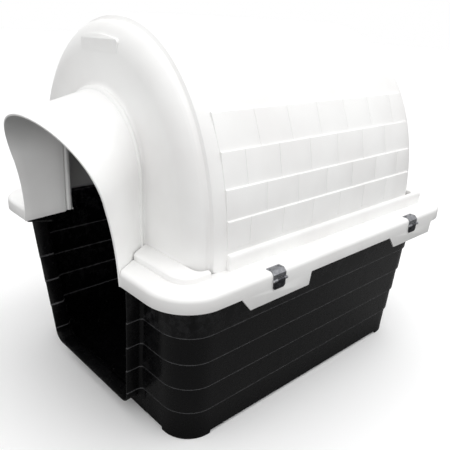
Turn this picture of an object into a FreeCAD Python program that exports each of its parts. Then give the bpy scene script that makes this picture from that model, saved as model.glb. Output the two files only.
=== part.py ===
import FreeCAD, Part
import math
import os
import Sketcher

# Two-piece moulded animal house: a black stepped tub, a white vaulted roof with
# a hooded doorway, and four steel toggle latches that hold the roof down.
# Millimetres, +Z up, the doorway faces -Y, the feet stand on Z = 0.

doc = FreeCAD.newDocument("AnimalHouse")
sheet = doc.addObject("Spreadsheet::Sheet", "Sizes")

sizes = {
    # overall, measured over the roof's flange
    "width": 744,
    "length": 900,
    "corner_radius": 70,
    "centre_shift": 32.5,
    # tub
    "tub_wall": 3.5,
    "foot_height": 8,
    "foot_size": 95,
    "band_height": 62,
    "band_step": 2.7,
    "draft": 2.5,
    "overhang": 48,
    "tub_radius": 46,
    "rim_height": 348,
    "rim_thick": 3,
    "rim_inset": 1,
    "upstand": 20,
    # doorway surround on the tub
    "portal_width": 420,
    "portal_foot_width": 348,
    "portal_reach": 12,
    "portal_lean": 4,
    "portal_radius": 45,
    # roof flange, skirt and tabs
    "roof_wall": 3.5,
    "skirt_height": 30,
    "edge_round": 10,
    "tab_drop": 30,
    "tab_length": 184,
    "tab_slant": 10,
    "tab_gap": 2,
    "front_latch_setback": 238,
    "rear_latch_setback": 188,
    "plinth_inset": 40,
    "plinth_height": 22,
    "plinth_round": 12,
    # vault
    "vault_inset": 61,
    "vault_rise": 404,
    "vault_setback": 90,
    "end_round": 53,
    "end_depth": 30,
    "groove_depth": 6,
    "groove_width": 12,
    "block_width": 134,
    "block_height": 26,
    # hood
    "hood_width": 290,
    "hood_rise": 145,
    "hood_spring": 524,
    "hood_flare": 0.434,
    "hood_foot_flare": 0.644,
    "hood_slope": 0.284,
    "hood_reach": 65,
    # latches
    "latch_shift": -5,
    "latch_width": 34,
    "sheet_thick": 1.5,
    "strap_leg": 9,
    "pin_radius": 1.5,
    "pin_drop": 16,
    "knuckle_radius": 3,
    "knuckle_gap": 0.5,
    "running_gap": 0.05,
    "lever_height": 19.5,
    "panel_width": 20,
    "panel_height": 9,
    "panel_raise": 0.8,
    "hook_width": 16,
    "hook_reach": 8,
    "hook_gap": 0.3,
    "rivet_radius": 1.2,
    "rivet_head": 2.2,
    "rivet_spread": 11,
}

for row, (name, value) in enumerate(sizes.items(), start=1):
    sheet.set(f"A{row}", name)
    sheet.set(f"B{row}", str(value))
    sheet.setAlias(f"B{row}", name)
doc.recompute()

# where the latches and tabs sit along Y, each measured from its own end of the flange
tab_places = {"Front": "($front_latch_setback - $length / 2)", "Rear": "($length / 2 - $rear_latch_setback)"}
latch_places = {where: f"({centre} + $latch_shift)" for where, centre in tab_places.items()}
vault_end = "($length / 2 - $vault_setback)"


def size(name):
    return float(sheet.get(name))


def bind(target, prop, expression):
    """Binds a property to spreadsheet cells; cell names are written with a leading $."""
    target.setExpression(prop, expression.replace("$", "Sizes."))


def new_body(name):
    body = doc.addObject("PartDesign::Body", name)
    body.Label = name
    return body


def new_sketch(body, name, role, offset="0 mm"):
    """A sketch on one of the body's own origin planes, moved along its normal."""
    sketch = body.newObject("Sketcher::SketchObject", name)
    plane = next(f for f in body.Origin.OriginFeatures if f.Role == role)
    sketch.AttachmentSupport = [(plane, "")]
    sketch.MapMode = "FlatFace"
    bind(sketch, "AttachmentOffset.Base.z", offset)
    return sketch


def rounded_rectangle(body, name, height, half_x, half_y, radius):
    """A rectangle with round corners about the Z axis, at the given height."""
    sketch = new_sketch(body, name, "XY_Plane", height)
    hx, hy, r = 300.0, 400.0, 50.0
    lines = [
        ((-hx + r, -hy), (hx - r, -hy)),
        ((hx, -hy + r), (hx, hy - r)),
        ((hx - r, hy), (-hx + r, hy)),
        ((-hx, hy - r), (-hx, -hy + r)),
    ]
    for start, end in lines:
        sketch.addGeometry(Part.LineSegment(FreeCAD.Vector(*start, 0), FreeCAD.Vector(*end, 0)))
    corners = [(hx - r, -hy + r, 270), (hx - r, hy - r, 0), (-hx + r, hy - r, 90), (-hx + r, -hy + r, 180)]
    for x, y, start in corners:
        circle = Part.Circle(FreeCAD.Vector(x, y, 0), FreeCAD.Vector(0, 0, 1), r)
        sketch.addGeometry(Part.ArcOfCircle(circle, math.radians(start), math.radians(start + 90)))
    for side in range(4):
        sketch.addConstraint(Sketcher.Constraint("Tangent", side, 2, 4 + side, 1))
        sketch.addConstraint(Sketcher.Constraint("Tangent", 4 + side, 2, (side + 1) % 4, 1))
    sketch.addConstraint(Sketcher.Constraint("Horizontal", 2))
    sketch.addConstraint(Sketcher.Constraint("Vertical", 3))
    for corner in range(5, 8):
        sketch.addConstraint(Sketcher.Constraint("Equal", 4, corner))
    sketch.addConstraint(Sketcher.Constraint("Symmetric", 0, 1, 0, 2, -2))
    sketch.addConstraint(Sketcher.Constraint("Symmetric", 1, 1, 1, 2, -1))
    for kind, geometry, value, expression, label in (
        ("DistanceX", 1, hx, half_x, "half_x"),
        ("DistanceY", 2, hy, half_y, "half_y"),
    ):
        index = sketch.addConstraint(Sketcher.Constraint(kind, -1, 1, geometry, 1, value))
        sketch.renameConstraint(index, label)
        bind(sketch, f"Constraints.{label}", expression)
    index = sketch.addConstraint(Sketcher.Constraint("Radius", 4, r))
    sketch.renameConstraint(index, "radius")
    bind(sketch, "Constraints.radius", radius)
    return sketch


def polygon(body, name, role, points, offset="0 mm"):
    """A closed outline whose corners are pairs of expressions in the sketch's own axes."""
    sketch = new_sketch(body, name, role, offset)
    values = [tuple(evaluate(text) for text in point) for point in points]
    for i, start in enumerate(values):
        end = values[(i + 1) % len(values)]
        sketch.addGeometry(Part.LineSegment(FreeCAD.Vector(*start, 0), FreeCAD.Vector(*end, 0)))
    for i in range(len(values)):
        sketch.addConstraint(Sketcher.Constraint("Coincident", i, 2, (i + 1) % len(values), 1))
    for i, (point, value) in enumerate(zip(points, values)):
        for axis, kind in enumerate(("DistanceX", "DistanceY")):
            label = f"{'xy'[axis]}{i}"
            index = sketch.addConstraint(Sketcher.Constraint(kind, -1, 1, i, 1, value[axis]))
            sketch.renameConstraint(index, label)
            bind(sketch, f"Constraints.{label}", point[axis])
    return sketch


def circles(body, name, role, centres, radius, offset="0 mm"):
    """Equal circles whose centres are pairs of expressions."""
    sketch = new_sketch(body, name, role, offset)
    for i, centre in enumerate(centres):
        x, y = (evaluate(text) for text in centre)
        circle = Part.Circle(FreeCAD.Vector(x, y, 0), FreeCAD.Vector(0, 0, 1), evaluate(radius))
        sketch.addGeometry(circle)
        for label, kind, expression, value in (
            (f"x{i}", "DistanceX", centre[0], x),
            (f"y{i}", "DistanceY", centre[1], y),
        ):
            index = sketch.addConstraint(Sketcher.Constraint(kind, -1, 1, i, 3, value))
            sketch.renameConstraint(index, label)
            bind(sketch, f"Constraints.{label}", expression)
        index = sketch.addConstraint(Sketcher.Constraint("Radius", i, circle.Radius))
        sketch.renameConstraint(index, f"radius{i}")
        bind(sketch, f"Constraints.radius{i}", radius)
    return sketch


def evaluate(expression):
    """The number that an expression gives now, in millimetres."""
    return float(sheet.evalExpression(expression.replace("$", "")))


def extrude(body, kind, sketch, length, taper=None, reverse=False, midplane=False):
    """A Pad or a Pocket of a sketch, which must change the body's volume."""
    doc.recompute()
    before = body.Shape.Volume if body.Tip else 0.0
    feature = body.newObject(f"PartDesign::{kind}", f"{sketch.Name}_{kind}")
    feature.Profile = sketch
    feature.Midplane = midplane
    feature.Reversed = reverse
    bind(feature, "Length", length)
    if taper:
        bind(feature, "TaperAngle", taper)
    doc.recompute()
    change = body.Shape.Volume - before
    if (change <= 0.0) if kind == "Pad" else (change >= 0.0):
        raise RuntimeError(f"{feature.Name} changed the volume by {change:.1f}")
    return feature


def fillet_edges(body, name, radius, wanted):
    """Rounds the edges of the body's shape that the wanted function picks."""
    base = body.Tip
    names = [f"Edge{i}" for i, edge in enumerate(base.Shape.Edges, start=1) if wanted(edge)]
    feature = body.newObject("PartDesign::Fillet", name)
    feature.Base = (base, names)
    bind(feature, "Radius", radius)
    doc.recompute()
    return feature


def at_height(height):
    """Picks edges that lie flat at one height."""
    def wanted(edge):
        box = edge.BoundBox
        return abs(box.ZMin - height) < 0.01 and abs(box.ZMax - height) < 0.01
    return wanted


# ---- tub ----

slope = "($band_height * tan($draft * 1 deg) + $band_step)"
top_foot = "$foot_height + 4 * $band_height"
tub_top = "$rim_height + $upstand"


def band_inset(band):
    """How far the lower edge of a band lies inside the flange; band 4 is the top one."""
    return f"$overhang + ({tub_top} - ({top_foot})) * tan($draft * 1 deg) + {4 - band} * {slope}"


def band_sketch(body, name, band, rise, wall):
    """The outline of a band's lower edge, drawn inside it by a wall's thickness."""
    inset = f"({band_inset(band)} + {wall})"
    return rounded_rectangle(
        body, name, f"$foot_height + {band} * $band_height + {rise}",
        f"$width / 2 - {inset}", f"$length / 2 - {inset}", f"$tub_radius - {wall}")


def portal_outline(body, name, wall, top):
    """The doorway surround seen from the front: a trough with its foot corners cut round."""
    foot = f"($foot_height + $band_height + {wall})"
    cut = "$portal_radius"
    half_top = f"($portal_width / 2 - {wall})"
    half_foot = f"($portal_foot_width / 2 - {wall})"
    right = [
        (f"{half_foot} - {cut}", foot),
        (f"{half_foot} - {cut} * 0.5", f"{foot} + {cut} * 0.134"),
        (f"{half_foot} - {cut} * 0.134", f"{foot} + {cut} * 0.5"),
        (f"{half_foot} + {cut} * 0.06", f"{foot} + {cut}"),
        (half_top, top),
    ]
    left = [(f"-({x})", z) for x, z in reversed(right)]
    return polygon(body, name, "XZ_Plane", right + left)


def make_tub():
    body = new_body("base_tub")
    for band in range(5):
        height = "$band_height" if band < 4 else f"{tub_top} - ({top_foot})"
        sketch = band_sketch(body, f"BandOuter{band}", band, "0", "0")
        extrude(body, "Pad", sketch, height, "$draft * 1 deg")
    rim = rounded_rectangle(
        body, "Rim", "$rim_height - $rim_thick", "$width / 2 - $rim_inset",
        "$length / 2 - $rim_inset", "$corner_radius - $rim_inset")
    extrude(body, "Pad", rim, "$rim_thick")
    foot = rounded_rectangle(
        body, "Foot", "0", f"$width / 2 - ({band_inset(0)})",
        f"$length / 2 - ({band_inset(0)})", "$tub_radius")
    extrude(body, "Pad", foot, "$foot_height")
    surround = portal_outline(body, "PortalOuter", "0", tub_top)
    extrude(body, "Pad", surround, "$length / 2 - $portal_reach")
    # the surround's front leans back towards its foot
    front = "-($length / 2 - $portal_reach)"
    lean = f"({tub_top} - $foot_height) * tan($portal_lean * 1 deg)"
    slice_off = polygon(body, "PortalLean", "YZ_Plane", [
        (front, tub_top), (f"{front} - 1", tub_top), (f"{front} - 1", "$foot_height"),
        (f"{front} + {lean}", "$foot_height")])
    extrude(body, "Pocket", slice_off, "$portal_width + 8", midplane=True)
    # the underside is raised between the four feet
    for name, half_x, half_y in (
        ("UndersideAlong", f"$width / 2 - ({band_inset(0)}) - $foot_size", "$length / 2"),
        ("UndersideAcross", "$width / 2", f"$length / 2 - ({band_inset(0)}) - $foot_size"),
    ):
        gap = polygon(body, name, "XY_Plane", [
            (f"-({half_x})", f"-({half_y})"), (half_x, f"-({half_y})"),
            (half_x, half_y), (f"-({half_x})", half_y)])
        extrude(body, "Pocket", gap, "$foot_height", reverse=True)
    # the inside repeats the steps, one wall in and one wall up
    for band in range(5):
        height = "$band_height" if band < 4 else f"{tub_top} - ({top_foot})"
        sketch = band_sketch(body, f"BandInner{band}", band, "$tub_wall", "$tub_wall")
        extrude(body, "Pocket", sketch, height, "$draft * 1 deg", reverse=True)
    door = portal_outline(body, "PortalInner", "$tub_wall", f"{tub_top} + 1")
    extrude(body, "Pocket", door, "$length / 2 + 10", reverse=True)
    # notches in the rim take the roof's tabs
    half = "($tab_length / 2 + $tab_gap)"
    edge = "($width / 2 - $roof_wall - $tab_gap)"
    for where, centre in tab_places.items():
        for side, sign in (("Right", ""), ("Left", "-")):
            notch = polygon(body, f"Notch{where}{side}", "XY_Plane", [
                (f"{sign}{edge}", f"{centre} - {half}"), (f"{sign}$width", f"{centre} - {half}"),
                (f"{sign}$width", f"{centre} + {half}"), (f"{sign}{edge}", f"{centre} + {half}")],
                "$rim_height - 2 * $rim_thick")
            extrude(body, "Pocket", notch, "3 * $rim_thick", reverse=True)
    return body


# ---- roof ----

deck_top = "$rim_height + $skirt_height"


def tab_outline(body, name, centre):
    half = "$tab_length / 2"
    foot = "$rim_height - $tab_drop"
    return polygon(body, name, "YZ_Plane", [
        (f"{centre} - {half}", "$rim_height + 1"), (f"{centre} - {half} + $tab_slant", foot),
        (f"{centre} + {half} - $tab_slant", foot), (f"{centre} + {half}", "$rim_height + 1")])


def make_flange():
    """The roof's flange, skirt, tabs and plinth, still closed in the middle."""
    body = new_body("RoofFlange")
    outline = rounded_rectangle(
        body, "Flange", "$rim_height", "$width / 2", "$length / 2", "$corner_radius")
    extrude(body, "Pad", outline, "$skirt_height")
    fillet_edges(body, "FlangeRound", "$edge_round", at_height(size("rim_height") + size("skirt_height")))
    for where, centre in tab_places.items():
        extrude(body, "Pad", tab_outline(body, f"Tab{where}", centre), "$width", midplane=True)
    hollow = rounded_rectangle(
        body, "Hollow", "$rim_height - $tab_drop", "$width / 2 - $roof_wall",
        "$length / 2 - $roof_wall", "$corner_radius - $roof_wall")
    extrude(body, "Pocket", hollow, "$tab_drop + $skirt_height - $roof_wall", reverse=True)
    plinth = rounded_rectangle(
        body, "Plinth", f"{deck_top} - $roof_wall", "$width / 2 - $plinth_inset",
        "$length / 2 - $plinth_inset", "$corner_radius - $plinth_inset / 2")
    extrude(body, "Pad", plinth, "$plinth_height + $roof_wall")
    top = size("rim_height") + size("skirt_height") + size("plinth_height")
    fillet_edges(body, "PlinthRound", "$plinth_round", at_height(top))
    # slots that let the latch hooks through the tabs
    half = "($hook_width / 2 + 2)"
    high = "$rim_height - $rim_thick + 0.5"
    for where, centre in latch_places.items():
        slot = polygon(body, f"Slot{where}", "YZ_Plane", [
            (f"{centre} - {half}", high), (f"{centre} - {half}", f"{high} - 10"),
            (f"{centre} + {half}", f"{high} - 10"), (f"{centre} + {half}", high)])
        extrude(body, "Pocket", slot, "$width + 2", midplane=True)
    rivets = circles(body, "RivetHoles", "XY_Plane", [
        (f"{side} * ($width / 2 - $edge_round - $strap_leg / 2)", f"{centre} + {end} * $rivet_spread")
        for side in (-1, 1) for centre in latch_places.values() for end in (-1, 1)],
        "$rivet_radius + $running_gap", f"{deck_top} + 1")
    extrude(body, "Pocket", rivets, "$roof_wall + 2")
    return body


def arch_wire(y, half, rise, spring, foot, half_foot, power):
    """A closed arch across X: a straight foot, two legs and a superellipse crown."""
    count = 20
    crown = []
    for i in range(count + 1):
        angle = math.pi * i / count
        cos, sin = math.cos(angle), math.sin(angle)
        x = math.copysign(abs(cos) ** (2 / power), cos) * half
        z = spring + abs(sin) ** (2 / power) * rise
        crown.append(FreeCAD.Vector(x, y, z))
    curve = Part.BSplineCurve()
    curve.interpolate(crown)
    right = FreeCAD.Vector(half_foot, y, foot)
    left = FreeCAD.Vector(-half_foot, y, foot)
    return Part.Wire([
        Part.makeLine(left, right), Part.makeLine(right, crown[0]),
        curve.toShape(), Part.makeLine(crown[-1], left)])


def vault_stations(wall):
    """Places along Y and insets of the vault's skin: rounded ends and two grooves."""
    end = evaluate(vault_end) - wall
    groove = evaluate(vault_end) - size("end_depth") - size("groove_width") / 2
    half = size("groove_width") / 2 + wall * 0.5
    depth = end - groove - half
    steps = 5
    stations = []
    for i in range(steps + 1):
        angle = math.pi / 2 * i / steps
        stations.append((end - depth * (1 - math.cos(angle)), size("end_round") * (1 - math.sin(angle))))
    deep = size("groove_depth")
    stations += [(groove + half - 2, deep), (groove - half + 2, deep), (groove - half, 0.0)]
    return [(-y, inset) for y, inset in stations] + [(y, inset) for y, inset in reversed(stations)]


def vault_solid(wall, foot):
    spring = size("rim_height") + size("skirt_height") + size("plinth_height")
    half = size("width") / 2 - size("vault_inset")
    wires = []
    for y, inset in vault_stations(wall):
        inset += wall
        wires.append(arch_wire(y, half - inset, size("vault_rise") - inset, spring, foot, half - inset, 2.15))
    return Part.makeLoft(wires, True, True)


def hood_solid(wall, foot, back, front):
    """The flared tunnel over the doorway, between two places along Y."""
    wires = []
    for y in (back, front):
        out = -evaluate(vault_end) - y
        half = size("hood_width") / 2 + size("hood_flare") * out - wall
        half_foot = size("hood_width") / 2 + size("hood_foot_flare") * out - wall
        spring = size("hood_spring") - size("hood_slope") * out
        wires.append(arch_wire(y, half, size("hood_rise") - wall, spring, foot, half_foot, 2.0))
    return Part.makeLoft(wires, True, True)


def rim_cutter():
    """Everything in front of the hood's rim, which leans forward as it rises."""
    low = size("rim_height") - size("tab_drop") - 10
    base = size("rim_height") + size("upstand") - 8
    top = size("hood_spring") + size("hood_rise") + 20
    span = size("hood_spring") + size("hood_rise") - size("hood_slope") * 155 - base
    start = -size("length") / 2
    points = []
    for i in range(13):
        z = base + (top - base) * i / 12
        points.append(FreeCAD.Vector(-size("width"), start - size("hood_reach") * ((z - base) / span) ** 2, z))
    curve = Part.BSplineCurve()
    curve.interpolate(points)
    far = start - 400
    corners = [points[-1], FreeCAD.Vector(-size("width"), far, points[-1].z)]
    corners += [FreeCAD.Vector(-size("width"), far, low), FreeCAD.Vector(-size("width"), start, low), points[0]]
    edges = [curve.toShape()] + [Part.makeLine(a, b) for a, b in zip(corners, corners[1:])]
    return Part.Face(Part.Wire(edges)).extrude(FreeCAD.Vector(2 * size("width"), 0, 0))


def feature(name, shape):
    item = doc.addObject("Part::Feature", name)
    item.Shape = shape
    return item


def ridge_block():
    """The square block that stands on the ridge at the front end."""
    crown = size("rim_height") + size("skirt_height") + size("plinth_height") + size("vault_rise")
    floor = crown - size("end_round") - 60
    rise = crown - size("end_round") + size("block_height") - 14 - floor
    depth = size("end_depth") + size("groove_width") + 10
    box = Part.makeBox(size("block_width"), depth, rise,
                       FreeCAD.Vector(-size("block_width") / 2, -evaluate(vault_end), floor))
    top = [edge for edge in box.Edges if edge.BoundBox.ZMin > floor + rise - 1]
    return box.makeFillet(3.0, top)


def make_roof():
    flange = make_flange()
    wall = size("roof_wall")
    deck = size("rim_height") + size("skirt_height")
    end = evaluate(vault_end)
    front = -end - 175
    cutter = rim_cutter()
    hood = hood_solid(0.0, size("rim_height"), -end + 20, front).cut(cutter)
    outside = [flange, feature("VaultOuter", vault_solid(0.0, deck)), feature("HoodOuter", hood),
               feature("RidgeBlock", ridge_block())]
    solid = doc.addObject("Part::MultiFuse", "RoofSolid")
    solid.Shapes = outside
    plinth = new_body("PlinthInner")
    hollow = rounded_rectangle(
        plinth, "PlinthHollow", f"{deck_top} - 2 * $roof_wall",
        "$width / 2 - $plinth_inset - $roof_wall", "$length / 2 - $plinth_inset - $roof_wall",
        "$corner_radius - $plinth_inset / 2 - $roof_wall")
    extrude(plinth, "Pad", hollow, "$plinth_height + $roof_wall")
    fillet_edges(plinth, "PlinthHollowRound", "$plinth_round - $roof_wall",
                 at_height(deck + size("plinth_height") - wall))
    inside = [plinth, feature("VaultInner", vault_solid(wall, deck - 2 * wall)),
              feature("HoodInner", hood_solid(wall, deck - size("skirt_height") - 5, -end + 30, front - 5))]
    void = doc.addObject("Part::MultiFuse", "RoofVoid")
    void.Shapes = inside
    roof = doc.addObject("Part::Cut", "roof_shell")
    roof.Base = solid
    roof.Tool = void
    doc.recompute()
    return roof


# ---- latches: strap, lever and pin are drawn in section and padded along Y ----

face = "($width / 2)"
pin_x = f"({face} + $knuckle_radius + 0.3)"
pin_z = f"({deck_top} - $pin_drop)"


def knuckle(body, name, start, length):
    """A rolled knuckle about the pin's axis, from one place along Y over a length."""
    ring = circles(body, name, "XZ_Plane", [(pin_x, pin_z)], "$knuckle_radius", f"-({start}) - ({length})")
    extrude(body, "Pad", ring, length)


def bore(body, name):
    hole = circles(body, name, "XZ_Plane", [(pin_x, pin_z)], "$pin_radius + $running_gap", "-$latch_width")
    extrude(body, "Pocket", hole, "2 * $latch_width", reverse=True)


def make_strap(name):
    """The strap lies on the flange, goes over its edge and ends in two knuckles."""
    body = new_body(name)
    sheet_out = f"({face} + $sheet_thick)"
    top = f"({deck_top} + $sheet_thick)"
    inner = f"({face} - $edge_round)"
    leg = f"({inner} - $strap_leg)"
    # the bend is drawn as a flat that touches the flange's round edge
    bend = "$edge_round * tan(22.5 deg)"
    over = "($edge_round + $sheet_thick) * tan(22.5 deg)"
    foot = f"{pin_z} - $knuckle_radius * 0.5"
    section = polygon(body, name + "_section", "XZ_Plane", [
        (leg, deck_top), (f"{inner} + {bend}", deck_top), (face, f"{deck_top} - $edge_round + {bend}"),
        (face, foot), (sheet_out, foot), (sheet_out, f"{deck_top} - $edge_round + {over}"),
        (f"{inner} + {over}", top), (leg, top)])
    extrude(body, "Pad", section, "$latch_width", midplane=True)
    gap = "($latch_width / 4 + $knuckle_gap)"
    middle = polygon(body, name + "_gap", "YZ_Plane", [
        (f"-{gap}", f"{pin_z} - 2 * $knuckle_radius"), (gap, f"{pin_z} - 2 * $knuckle_radius"),
        (gap, f"{pin_z} + $knuckle_radius + $knuckle_gap"),
        (f"-{gap}", f"{pin_z} + $knuckle_radius + $knuckle_gap")])
    extrude(body, "Pocket", middle, "$width", reverse=True)
    length = "$latch_width / 4 - $knuckle_gap"
    knuckle(body, name + "_knuckle_a", "-$latch_width / 2", length)
    knuckle(body, name + "_knuckle_b", f"{gap}", length)
    bore(body, name + "_bore")
    holes = circles(body, name + "_holes", "XY_Plane", [
        (f"{inner} - $strap_leg / 2", f"{end} * $rivet_spread") for end in (-1, 1)],
        "$rivet_radius + $running_gap", f"{top} + 1")
    extrude(body, "Pocket", holes, "$sheet_thick + 2")
    return body


def make_lever(name):
    """The lever hangs on the pin; a tongue on its back hooks under the tub's rim."""
    body = new_body(name)
    back = f"({face} + 0.5)"
    front = f"({back} + $sheet_thick)"
    foot = f"({pin_z} - $lever_height)"
    head = f"({pin_z} - $knuckle_radius - 1)"
    half = "($latch_width / 2 - 1)"
    plate = polygon(body, name + "_plate", "YZ_Plane", [
        (f"-{half}", head), (f"-{half}", f"{foot} + 4"), (f"-{half} + 4", foot), (f"{half} - 4", foot),
        (half, f"{foot} + 4"), (half, head)], back)
    extrude(body, "Pad", plate, "$sheet_thick")
    neck = polygon(body, name + "_neck", "XZ_Plane", [
        (back, f"{head} - 1"), (front, f"{head} - 1"), (front, pin_z), (back, pin_z)])
    extrude(body, "Pad", neck, "$latch_width / 2", midplane=True)
    knuckle(body, name + "_knuckle", "-$latch_width / 4", "$latch_width / 2")
    bore(body, name + "_bore")
    # a raised panel stiffens the plate
    low = f"({foot} + ({head} - ({foot}) - $panel_height) / 2)"
    panel = polygon(body, name + "_panel", "YZ_Plane", [
        ("-$panel_width / 2", low), ("$panel_width / 2", low),
        ("$panel_width / 2", f"{low} + $panel_height"), ("-$panel_width / 2", f"{low} + $panel_height")], front)
    extrude(body, "Pad", panel, "$panel_raise")
    high = "($rim_height - $rim_thick - $hook_gap)"
    low = f"({high} - $sheet_thick)"
    tip = f"({face} - $roof_wall - $tab_gap - $hook_reach)"
    tongue = polygon(body, name + "_tongue", "XZ_Plane", [
        (front, low), (front, high), (tip, high), (tip, low)])
    extrude(body, "Pad", tongue, "$hook_width", midplane=True)
    return body


def make_pin(name):
    body = new_body(name)
    shank = circles(body, name + "_shank", "XZ_Plane", [(pin_x, pin_z)], "$pin_radius", "-$latch_width / 2 - 0.2")
    extrude(body, "Pad", shank, "$latch_width + 0.4")
    for label, offset in (("_head_a", "-$latch_width / 2 - 1.2"), ("_head_b", "$latch_width / 2 + 0.2")):
        head = circles(body, name + label, "XZ_Plane", [(pin_x, pin_z)], "$pin_radius + 1", offset)
        extrude(body, "Pad", head, "1")
    return body


def make_rivet(name, end):
    """One rivet of a pair: a shank through strap and flange, with a head on each side."""
    body = new_body(name)
    centre = [(f"{face} - $edge_round - $strap_leg / 2", f"{end} * $rivet_spread")]
    low = f"({deck_top} - $roof_wall)"
    high = f"({deck_top} + $sheet_thick)"
    shank = circles(body, name + "_shank", "XY_Plane", centre, "$rivet_radius", low)
    extrude(body, "Pad", shank, "$roof_wall + $sheet_thick")
    for label, offset in (("_head", high), ("_tail", f"{low} - 1.2")):
        head = circles(body, name + label, "XY_Plane", centre, "$rivet_head", offset)
        extrude(body, "Pad", head, "1.2")
    return body


def make_rivets(name):
    pair = doc.addObject("Part::Compound", name)
    pair.Links = [make_rivet(name + "_a", -1), make_rivet(name + "_b", 1)]
    return pair


def latch_placement(place, side):
    """A latch is drawn on the right at Y = 0; the left ones are turned half round."""
    turn = FreeCAD.Rotation(FreeCAD.Vector(0, 0, 1), 0 if side > 0 else 180)
    return FreeCAD.Placement(FreeCAD.Vector(0, evaluate(latch_places[place]), 0), turn)


def make_parts():
    parts = {"base_tub": make_tub(), "roof_shell": make_roof()}
    latches = [("front_right", "Front", 1), ("rear_right", "Rear", 1),
               ("front_left", "Front", -1), ("rear_left", "Rear", -1)]
    makers = {"latch_strap": make_strap, "latch_lever": make_lever,
              "latch_pin": make_pin, "latch_rivets": make_rivets}
    for where, place, side in latches:
        for kind, make in makers.items():
            item = make(f"{kind}_{where}")
            item.Placement = latch_placement(place, side)
            parts[f"{kind}_{where}"] = item
    return parts


def place_parts(parts):
    """Moves every part so that the whole stands centred on the origin."""
    shift = FreeCAD.Placement(FreeCAD.Vector(0, size("centre_shift"), 0), FreeCAD.Rotation())
    for item in parts.values():
        item.Placement = shift * item.Placement


def check_and_write(parts):
    doc.recompute()
    failed = [o.Name for o in doc.Objects if "Invalid" in o.State or "Error" in o.State]
    if failed:
        raise RuntimeError(f"failed objects: {failed}")
    for name, item in parts.items():
        item.Label = name
        shape = item.Shape
        if shape.isNull() or not shape.isValid():
            raise RuntimeError(f"{name} has no valid shape")
        print(f"{name}: {len(shape.Solids)} solid, {shape.Volume:.0f} mm3, {shape.BoundBox}")
    os.makedirs("parts", exist_ok=True)
    for name, item in parts.items():
        item.Shape.exportStep(f"parts/{name}.step")


parts = make_parts()
place_parts(parts)
check_and_write(parts)
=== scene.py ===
import math
import bpy
import bmesh
from mathutils import Matrix, Vector


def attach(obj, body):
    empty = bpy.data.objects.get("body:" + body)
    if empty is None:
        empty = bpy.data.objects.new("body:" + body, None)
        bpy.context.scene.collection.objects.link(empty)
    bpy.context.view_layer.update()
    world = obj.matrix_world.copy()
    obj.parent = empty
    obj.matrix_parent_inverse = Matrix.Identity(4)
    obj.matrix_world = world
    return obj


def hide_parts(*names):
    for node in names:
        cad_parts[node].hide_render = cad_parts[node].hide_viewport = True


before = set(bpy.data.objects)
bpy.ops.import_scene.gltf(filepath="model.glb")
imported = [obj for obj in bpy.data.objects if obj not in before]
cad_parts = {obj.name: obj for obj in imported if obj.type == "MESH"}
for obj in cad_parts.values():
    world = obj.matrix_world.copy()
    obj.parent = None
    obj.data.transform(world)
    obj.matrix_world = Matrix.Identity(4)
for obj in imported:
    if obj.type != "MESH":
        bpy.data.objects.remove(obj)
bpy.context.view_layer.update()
bpy.ops.object.select_all(action="DESELECT")
print("frame loaded")

# a millimetre, and the place along Y of the flange's middle
mm = 0.001
middle = 32.5 * mm


# working in edit mode

def deselectAll():
    bpy.ops.object.select_all(action="DESELECT")


def choose(piece):
    deselectAll()
    piece.select_set(True)
    bpy.context.view_layer.objects.active = piece


def startEdit(piece):
    choose(piece)
    bpy.ops.object.mode_set(mode="EDIT")


def endEdit():
    bpy.ops.object.mode_set(mode="OBJECT")


def pick(kind, wanted):
    # selects only the vertices (by place), edges (by themselves) or faces (by middle and normal) that are wanted
    bpy.ops.mesh.select_mode(type=kind)
    bpy.ops.mesh.select_all(action="DESELECT")
    mesh = bmesh.from_edit_mesh(bpy.context.object.data)
    if kind == "VERT":
        found = [v for v in mesh.verts if wanted(v.co)]
    elif kind == "EDGE":
        found = [e for e in mesh.edges if wanted(e)]
    else:
        found = [f for f in mesh.faces if wanted(f.calc_center_median(), f.normal)]
    for part in found:
        part.select_set(True)
    mesh.select_flush_mode()
    bmesh.update_edit_mesh(bpy.context.object.data)


def scaleAbout(x, y, z, cx=0.0, cy=0.0, cz=0.0):
    bpy.ops.transform.resize(value=(x, y, z), center_override=(cx, cy, cz))


def moveBy(x=0.0, y=0.0, z=0.0):
    bpy.ops.transform.translate(value=(x, y, z))


def nextLoop(x=0.0, y=0.0, z=0.0):
    # extrudes the selected edges; the new edges stay selected
    bpy.ops.mesh.extrude_edges_move(TRANSFORM_OT_translate={"value": (x, y, z)})


def finishPiece(piece, name, body, material, nodes, angle=35):
    # shades the piece, gives it its name, finish and body, and hides the CAD nodes that it stands for
    choose(piece)
    bpy.ops.object.transform_apply(location=True, rotation=True, scale=True)
    bpy.ops.object.shade_smooth_by_angle(angle=math.radians(angle))
    piece.name = name
    piece.data.name = name
    piece.data.materials.clear()
    piece.data.materials.append(material)
    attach(piece, body)
    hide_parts(*nodes)
    deselectAll()


def modify(piece, kind, **settings):
    # adds one modifier with its settings and applies it
    choose(piece)
    modifier = piece.modifiers.new(kind.title(), kind)
    for setting, value in settings.items():
        setattr(modifier, setting, value)
    bpy.ops.object.modifier_apply(modifier=modifier.name)


def fixNormals():
    bpy.ops.mesh.select_all(action="SELECT")
    bpy.ops.mesh.remove_doubles(threshold=0.00002)
    bpy.ops.mesh.normals_make_consistent(inside=False)


# materials

def linear(hexColour):
    # an sRGB hex colour as linear numbers
    values = [int(hexColour[i:i + 2], 16) / 255 for i in (0, 2, 4)]
    return [v / 12.92 if v <= 0.04045 else ((v + 0.055) / 1.055) ** 2.4 for v in values] + [1.0]


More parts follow.
